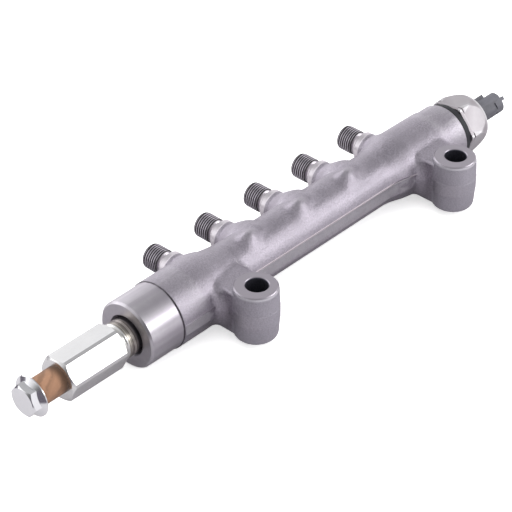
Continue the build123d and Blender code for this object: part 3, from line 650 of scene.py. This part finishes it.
def kraft_card(finish):
    """Wrapped kraft card with slanting creases and fibres, in shade under the hexagon."""
    made, tree, inputs = new_finish(
        "kraft_card", 0.0, Specular_IOR_Level=0.3, Sheen_Weight=0.1
    )
    place, x, y, z = object_axes(tree)
    angle = math_node(tree, "ARCTAN2", minus(tree, z, RAIL_Z), minus(tree, y, RAIL_Y))
    slant = plus(tree, times(tree, x, 1.0 / CREASE_LEAD), times(tree, angle, CREASE_TWIST))
    wander = noise(tree, Vector=place, Scale=180.0, Detail=2.0)
    crease = noise(
        tree, W=plus(tree, slant, times(tree, wander, 1.2)), Scale=0.8, Detail=1.0, Roughness=0.5,
    )
    stretched = add_node(
        tree, "ShaderNodeMapping", {"Vector": place, "Scale": (1.0, 3.0, 3.0)}
    )
    fibre = noise(tree, Vector=stretched.outputs[0], Scale=900.0, Detail=4.0)
    shade = step(tree, crease, *CREASES)
    colour = mix_colour(tree, shade, rgba(finish.kraft, 0.72), rgba(finish.kraft, 1.08))
    light_fibre = step(tree, fibre, *FIBRES)
    colour = mix_colour(tree, light_fibre, colour, rgba(finish.kraft, 1.3))
    under_hexagon = step(tree, x, SLEEVE_END - 4.5 * MM, SLEEVE_END - 0.5 * MM)
    colour = mix_colour(tree, under_hexagon, colour, rgba(finish.kraft, 0.38))
    tree.links.new(colour, inputs["Base Color"])
    tree.links.new(mix_value(tree, fibre, *CARD_ROUGHNESS), inputs["Roughness"])
    height = plus(tree, shade, times(tree, fibre, 0.3))
    bump(tree, inputs, height, strength=0.5, distance=0.25 * MM)
    return made


def moulded_plastic(name, colour, roughness):
    """Moulded plastic with a fine spark-eroded grain and faint flow marks."""
    made, tree, inputs = new_finish(name, 0.0, Specular_IOR_Level=0.45)
    grain = use_group(tree, "steel_grain", Grain_Scale=2200.0, Cloud_Scale=220.0)
    wear = use_group(tree, "edge_wear", Amount=0.5, Break_Up=0.5)
    cloud = step(tree, grain["Cloud"], *PATCHES)
    base = mix_colour(tree, cloud, rgba(colour, 0.85), rgba(colour, 1.12))
    shown = mix_colour(tree, wear["Wear"], base, rgba(colour, 1.8))
    tree.links.new(shown, inputs["Base Color"])
    rough = mix_value(tree, grain["Grain"], roughness * 0.85, roughness * 1.15)
    tree.links.new(rough, inputs["Roughness"])
    bump(tree, inputs, grain["Grain"], strength=0.2, distance=0.08 * MM)
    return made


def small_metal(name, colour, roughness):
    """Small bright pieces: terminals, spring wire and ground valve parts."""
    made, tree, inputs = new_finish(name, 1.0)
    grain = use_group(tree, "steel_grain", Grain_Scale=2500.0, Cloud_Scale=300.0)
    cloud = step(tree, grain["Cloud"], *PATCHES)
    tree.links.new(
        mix_colour(tree, cloud, rgba(colour, 0.88), rgba(colour)), inputs["Base Color"]
    )
    rough = mix_value(tree, grain["Grain"], roughness * 0.8, roughness * 1.3)
    tree.links.new(rough, inputs["Roughness"])
    bump(tree, inputs, grain["Grain"], strength=0.1, distance=0.05 * MM)
    return made


# ----------------------------------------------------------------- modelling

def paint(thing, material):
    thing.data.materials.clear()
    thing.data.materials.append(material)


def clear_selection():
    for thing in bpy.data.objects:
        thing.select_set(False)


def activate(thing):
    clear_selection()
    thing.select_set(True)
    bpy.context.view_layer.objects.active = thing


def settle(thing, name):
    """The finished piece: its place in its mesh, its object at the origin."""
    activate(thing)
    bpy.ops.object.transform_apply(location=True, rotation=True, scale=True)
    thing.name = name
    thing.data.name = name


def modify(thing, kind, **settings):
    """Puts a modifier with these settings on a piece and applies it."""
    activate(thing)
    made = thing.modifiers.new(kind.lower(), kind)
    for key, value in settings.items():
        setattr(made, key, value)
    bpy.ops.object.modifier_apply(modifier=made.name)


def smooth(thing, degrees):
    """Shades a piece smooth, but for edges sharper than this."""
    activate(thing)
    bpy.ops.object.shade_smooth_by_angle(angle=math.radians(degrees))


def dress(piece, body, material):
    """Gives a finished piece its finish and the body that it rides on."""
    paint(piece, material)
    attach(piece, body)


def copy_piece(piece, name, shift):
    """A copy with its own mesh, moved and settled."""
    made = piece.copy()
    made.data = piece.data.copy()
    bpy.context.scene.collection.objects.link(made)
    made.location = shift
    settle(made, name)
    return made


def thread_profile(radius, pitch, depth, proud):
    """One tooth of a thread in the XZ plane: an open trapezoid on a shaft of that radius."""
    bpy.ops.mesh.primitive_plane_add(size=1.0, location=(0.0, 0.0, 0.0))
    tooth = bpy.context.active_object
    shape = bmesh.new()
    shape.from_mesh(tooth.data)
    corners = sorted(shape.verts, key=lambda v: (v.co.y, v.co.x))
    root, crest = 0.5 * pitch, 0.5 * CREST_SHARE * pitch
    places = ((-depth, -root), (-depth, root), (proud, -crest), (proud, crest))
    for corner, (out, along) in zip(corners, places):
        corner.co = Vector((out, 0.0, along))
    bmesh.ops.delete(shape, geom=list(shape.faces), context="FACES_ONLY")
    base = [edge for edge in shape.edges if all(vert.co.x < 0.0 for vert in edge.verts)]
    bmesh.ops.delete(shape, geom=base, context="EDGES")
    shape.to_mesh(tooth.data)
    shape.free()
    tooth.location = (radius, 0.0, 0.0)
    bpy.ops.object.transform_apply(location=True, rotation=True, scale=True)
    return tooth


def fade_ends(thread, low, high, reach, root):
    """Pulls the first and last part of a thread down to its root radius, as a die leaves it."""
    shape = bmesh.new()
    shape.from_mesh(thread.data)
    for vert in shape.verts:
        out = math.hypot(vert.co.x, vert.co.y)
        near = min(vert.co.z - low, high - vert.co.z)
        share = max(0.0, min(1.0, near / reach))
        wanted = root + max(0.0, out - root) * share
        vert.co.x *= wanted / out
        vert.co.y *= wanted / out
        vert.co.z = max(low, min(high, vert.co.z))
    bmesh.ops.remove_doubles(shape, verts=shape.verts, dist=THREAD_WELD)
    bmesh.ops.recalc_face_normals(shape, faces=shape.faces)
    shape.to_mesh(thread.data)
    shape.free()


def screw_thread(given):
    """A helical thread about Z, standing on z = 0, whose two ends fade into the nipple."""
    turns = int((THREAD_END - THREAD_START) / given.pitch)
    thread = thread_profile(NIPPLE_R, given.pitch, ROOT_DEPTH, given.proud)
    modify(
        thread, "SCREW", axis="Z", angle=math.tau, screw_offset=given.pitch, iterations=turns,
        steps=given.steps, render_steps=given.steps, use_merge_vertices=False,
        use_normal_calculate=True,
    )
    fade_ends(
        thread, low=-0.5 * given.pitch, high=(turns + 0.5) * given.pitch,
        reach=1.2 * given.pitch, root=NIPPLE_R - ROOT_DEPTH,
    )
    return thread


def inside(place):
    """0 on the relief skin's border and 1 from SKIN_BORDER inwards."""
    edge = min(
        place.x - SKIN_START, SKIN_END - place.x, place.y - SKIN_NEAR_Y, SKIN_FAR_Y - place.y,
    )
    return max(0.0, min(1.0, edge / SKIN_BORDER))


def mounds(place, given):
    """The rise of the mounds behind the middle nipples, from 0 to 1."""
    rise = 0.0
    for number in range(1, NIPPLE_COUNT - 1):
        centre_x = NIPPLE_FIRST + number * NIPPLE_PITCH + given.mound_x
        centre_y = RAIL_Y + given.mound_y
        along = (place.x - centre_x) / (given.mound_length / 2)
        across = (place.y - centre_y) / (given.mound_width / 2)
        rise += max(0.0, 1.0 - along ** 2 - across ** 2) ** 2
    return rise


# ----------------------------------------------------------------- operators

class RAIL_OT_finishes(bpy.types.Operator):
    """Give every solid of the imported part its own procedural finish"""
    bl_idname = "fuel_rail.finishes"
    bl_label = "Finishes"

    def execute(self, context):
        finish = context.scene.rail_finish
        ground = small_metal("ground_steel", (0.60, 0.60, 0.61), roughness=0.3)
        tinned = small_metal("tinned_brass", (0.78, 0.68, 0.45), roughness=0.28)
        stainless = plated_steel(
            "stainless", finish.stainless, roughness=0.52, cloudiness=0.06
        )
        wanted = {
            "rail_body": forged_steel(finish),
            "limiter_housing": plated_steel(
                "zinc_plating", finish.zinc, roughness=0.24, cloudiness=0.08, with_neck=True
            ),
            "limiter_spring": small_metal("spring_wire", (0.42, 0.42, 0.44), roughness=0.35),
            "return_bolt": plated_steel(
                "bright_plating", finish.bright, roughness=0.13, cloudiness=0.05
            ),
            "return_bolt_sleeve": kraft_card(finish),
            "sensor_housing": stainless,
            "sensor_pressure_port": stainless,
            "sensor_gauge_board": moulded_plastic(
                "board_laminate", (0.06, 0.22, 0.11), roughness=0.45
            ),
            "sensor_spacer": moulded_plastic(
                "spacer_plastic", (0.78, 0.76, 0.68), roughness=0.55
            ),
            "sensor_connector": moulded_plastic(
                "plug_plastic", finish.plastic, roughness=0.5
            ),
        }
        for part in ("valve_seat", "valve", "guide", "shim", "stop"):
            wanted[f"limiter_{part}"] = ground
        for number in (1, 2, 3):
            wanted[f"sensor_terminal_{number}"] = tinned
        for node, material in wanted.items():
            paint(frame["nodes"][node], material)
        return {"FINISHED"}


class RAIL_OT_nipple_threads(bpy.types.Operator):
    """Screw a thread onto each pipe nipple"""
    bl_idname = "fuel_rail.nipple_threads"
    bl_label = "Nipple threads"

    def execute(self, context):
        given = context.scene.rail_threads
        clear_selection()
        thread = screw_thread(given)
        thread.rotation_euler = (-math.pi / 2, 0.0, 0.0)
        thread.location = (NIPPLE_FIRST, THREAD_START + 0.5 * given.pitch, RAIL_Z)
        settle(thread, "nipple_thread_1")
        modify(thread, "SOLIDIFY", thickness=THREAD_WALL, offset=-1.0)
        smooth(thread, degrees=32.0)
        pieces = [thread]
        for number in range(1, NIPPLE_COUNT):
            shift = (number * NIPPLE_PITCH, 0.0, 0.0)
            pieces.append(copy_piece(thread, f"nipple_thread_{number + 1}", shift))
        material = thread_steel(context.scene.rail_finish)
        for piece in pieces:
            dress(piece, "rail", material)
        return {"FINISHED"}


class RAIL_OT_hump_relief(bpy.types.Operator):
    """Lay a soft forged skin with a mound behind each middle nipple over the rail's top"""
    bl_idname = "fuel_rail.hump_relief"
    bl_label = "Hump relief"

    def execute(self, context):
        given = context.scene.rail_relief
        body = frame["nodes"]["rail_body"]
        skin = self.sheet(given.spacing)
        modify(
            skin, "SHRINKWRAP", target=body, wrap_method="PROJECT", use_project_z=True,
            use_negative_direction=True, use_positive_direction=False,
        )
        self.soften(skin, given.passes)
        for vert in skin.data.vertices:
            share = inside(vert.co)
            stand_off = given.skin * share * share - SKIN_SINK
            vert.co.z += stand_off + given.height * mounds(vert.co, given)
        modify(skin, "SOLIDIFY", thickness=SKIN_WALL, offset=-1.0)
        smooth(skin, degrees=50.0)
        dress(skin, "rail", body.data.materials[0])
        return {"FINISHED"}

    def sheet(self, spacing):
        """A flat grid above the rail's top, with points this far apart."""
        clear_selection()
        length, width = SKIN_END - SKIN_START, SKIN_FAR_Y - SKIN_NEAR_Y
        middle = ((SKIN_START + SKIN_END) / 2, (SKIN_NEAR_Y + SKIN_FAR_Y) / 2, SKIN_DROP_FROM)
        bpy.ops.mesh.primitive_grid_add(
            x_subdivisions=int(length / spacing), y_subdivisions=int(width / spacing),
            size=1.0, location=middle,
        )
        sheet = bpy.context.active_object
        sheet.scale = (length, width, 1.0)
        settle(sheet, "hump_relief")
        return sheet

    def soften(self, skin, passes):
        """Smooths the skin's heights and leaves its border on the forging."""
        inner = skin.vertex_groups.new(name="inner")
        for vert in skin.data.vertices:
            inner.add([vert.index], inside(vert.co), "REPLACE")
        modify(
            skin, "SMOOTH", vertex_group="inner", factor=0.5, iterations=passes, use_x=False,
            use_y=False,
        )


class RAIL_OT_sensor_gap_shade(bpy.types.Operator):
    """Close the gap behind the sensor's hexagon with a black ring, painted shade where the gap
    lies in shadow
    """
    bl_idname = "fuel_rail.sensor_seal"
    bl_label = "Sensor seal"

    def execute(self, context):
        clear_selection()
        bpy.ops.mesh.primitive_cylinder_add(
            vertices=96, radius=GAP_SHADE_R, depth=SENSOR_GAP - GAP_SHADE_SLACK, end_fill_type="NGON",
            location=(FAR_FACE + SENSOR_GAP / 2, RAIL_Y, RAIL_Z), rotation=(0.0, math.pi / 2, 0.0),
        )
        gap_shade = bpy.context.active_object
        self.open_middle(gap_shade)
        modify(gap_shade, "BEVEL", width=GAP_SHADE_EDGE_R, segments=3, limit_method="ANGLE")
        settle(gap_shade, "sensor_seal")
        smooth(gap_shade, degrees=32.0)
        # The ring is near-black: painted shade standing in for the shadow in the gap.
        gap_black = moulded_plastic("gap_shade_black", (0.012, 0.012, 0.016), roughness=0.5)
        dress(gap_shade, "rail", gap_black)
        return {"FINISHED"}

    def open_middle(self, gap_shade):
        """Insets the two round faces and joins them through the middle."""
        bpy.ops.object.mode_set(mode="EDIT")
        bpy.ops.mesh.select_all(action="DESELECT")
        shape = bmesh.from_edit_mesh(gap_shade.data)
        for face in shape.faces:
            face.select_set(len(face.verts) > 4)
        bmesh.update_edit_mesh(gap_shade.data)
        bpy.ops.mesh.inset(thickness=GAP_SHADE_R - GAP_SHADE_INNER_R)
        bpy.ops.mesh.bridge_edge_loops()
        bpy.ops.object.mode_set(mode="OBJECT")


class RAIL_OT_stage(bpy.types.Operator):
    """Set up the pale floor, the soft dome, the lamps and the camera"""
    bl_idname = "fuel_rail.stage"
    bl_label = "Stage"

    def execute(self, context):
        given = context.scene.rail_stage
        clear_selection()
        bpy.ops.mesh.primitive_plane_add(
            size=given.floor, location=(0.0, 0.0, CAD_LOW.z - FLOOR_GAP)
        )
        floor = bpy.context.active_object
        floor.name = "floor"
        paint(floor, self.floor_paint())
        self.dome(context.scene)
        self.lamp(context.scene, "key", KEY_PLACE, KEY_AIM, KEY_SIZE, given.key)
        self.lamp(context.scene, "top", TOP_PLACE, TOP_AIM, TOP_SIZE, given.top)
        self.camera(context.scene, given.lens)
        context.scene.view_settings.view_transform = "Standard"
        return {"FINISHED"}

    def floor_paint(self):
        """White and faintly glowing to the camera; darker tones, by zones, to reflected rays."""
        made, tree, inputs = new_finish("pale_floor", 0.0, Roughness=0.9, Specular_IOR_Level=0.1)
        to_camera = add_node(tree, "ShaderNodeLightPath").outputs["Is Camera Ray"]
        _, x, y, _ = object_axes(tree)
        aside = math_node(tree, "ABSOLUTE", minus(tree, y, RAIL_Y))
        back = plus(tree, y, times(tree, x, BEHIND_SLANT))
        tone = rgba(FLOOR_NEAR)
        zones = (
            (aside, ASIDE_ZONE, FLOOR_ASIDE), (back, BEHIND_ZONE, FLOOR_BEHIND),
            (x, PAST_BOLT_ZONE, FLOOR_PAST_BOLT), (x, FAR_OUT_ZONE, FLOOR_FAR_OUT),
        )
        for distance, (near, far), wanted in zones:
            tone = mix_colour(tree, step(tree, distance, near, far), tone, rgba(wanted))
        shown = mix_colour(tree, to_camera, tone, rgba(FLOOR_SEEN))
        tree.links.new(shown, inputs["Base Color"])
        inputs["Emission Color"].default_value = rgba((1.0, 1.0, 1.0))
        tree.links.new(times(tree, to_camera, FLOOR_GLOW), inputs["Emission Strength"])
        return made

    def dome(self, scene):
        """An even light, which the metal mirrors bright behind, dark in front and dim overhead."""
        world = bpy.data.worlds.new("soft_dome")
        scene.world = world
        world.use_nodes = True
        tree = world.node_tree
        ray = add_node(tree, "ShaderNodeTexCoord").outputs["Generated"]
        x, y, z = add_node(tree, "ShaderNodeSeparateXYZ", {0: ray}).outputs
        ramp = add_node(tree, "ShaderNodeValToRGB", {0: z})
        stops = ramp.color_ramp.elements
        stops[0].color, stops[1].color = rgba(DOME_GREYS[0][1]), rgba(DOME_GREYS[-1][1])
        for height, grey in DOME_GREYS[1:-1]:
            stops.new(height).color = rgba(grey)
        front = plus(tree, times(tree, x, DOME_FRONT[0]), times(tree, y, DOME_FRONT[1]))
        rear = plus(tree, times(tree, x, DOME_REAR[0]), times(tree, y, DOME_REAR[1]))
        dimmed = mix_value(tree, step(tree, front, *DOME_FRONT_ZONE), 1.0, DOME_FRONT_GAIN)
        gain = plus(tree, dimmed, step(tree, rear, *DOME_REAR_ZONE))
        mirrored = add_node(
            tree, "ShaderNodeVectorMath", {0: ramp.outputs[0], 1: gain}, operation="MULTIPLY",
        )
        to_metal = add_node(tree, "ShaderNodeLightPath").outputs["Is Glossy Ray"]
        shown = mix_colour(tree, to_metal, rgba(DOME_LIGHT), mirrored.outputs[0])
        tree.links.new(shown, tree.nodes["Background"].inputs["Color"])

    def lamp(self, scene, name, place, aim, size, power):
        light = bpy.data.lights.new(name, "AREA")
        light.shape = "RECTANGLE"
        light.size, light.size_y = size
        light.energy = power
        self.stand(scene, bpy.data.objects.new(name, light), place, aim)

    def camera(self, scene, focal_length):
        eye = bpy.data.cameras.new("camera")
        eye.lens = focal_length
        eye.sensor_width = CAMERA_SENSOR
        eye.clip_start, eye.clip_end = CAMERA_CLIP
        thing = bpy.data.objects.new("camera", eye)
        self.stand(scene, thing, CAMERA_PLACE, CAMERA_AIM)
        scene.camera = thing

    def stand(self, scene, thing, place, aim):
        """Puts a lamp or the camera in its place and turns it to its aim."""
        scene.collection.objects.link(thing)
        thing.location = place
        turn = (Vector(aim) - Vector(place)).to_track_quat("-Z", "Y")
        thing.rotation_euler = turn.to_euler()


# ------------------------------------------------------------ panel and main

class RAIL_PT_panel(bpy.types.Panel):
    """Lists the steps that dress the fuel rail, with their values"""
    bl_label = "Fuel Rail"
    bl_idname = "RAIL_PT_panel"
    bl_space_type = "VIEW_3D"
    bl_region_type = "UI"
    bl_category = "Fuel Rail"

    def draw(self, context):
        column = self.layout.column()
        for name, kind in SETTINGS.items():
            for value in kind.__annotations__:
                column.prop(getattr(context.scene, name), value)
        for operator in STEPS:
            column.operator(operator.bl_idname)


SETTINGS = {
    "rail_finish": RailFinish, "rail_threads": RailThreads, "rail_relief": RailRelief,
    "rail_stage": RailStage,
}
STEPS = (
    RAIL_OT_finishes, RAIL_OT_nipple_threads, RAIL_OT_hump_relief, RAIL_OT_sensor_gap_shade,
    RAIL_OT_stage,
)
CLASSES = (*SETTINGS.values(), *STEPS, RAIL_PT_panel)


def register():
    for item in CLASSES:
        bpy.utils.register_class(item)
    for name, kind in SETTINGS.items():
        setattr(bpy.types.Scene, name, bpy.props.PointerProperty(type=kind))


def unregister():
    for name in SETTINGS:
        delattr(bpy.types.Scene, name)
    for item in reversed(CLASSES):
        bpy.utils.unregister_class(item)


def main():
    register()
    bpy.ops.fuel_rail.finishes()
    bpy.ops.fuel_rail.nipple_threads()
    bpy.ops.fuel_rail.hump_relief()
    bpy.ops.fuel_rail.sensor_seal()
    bpy.ops.fuel_rail.stage()


if __name__ == "__main__":
    main()
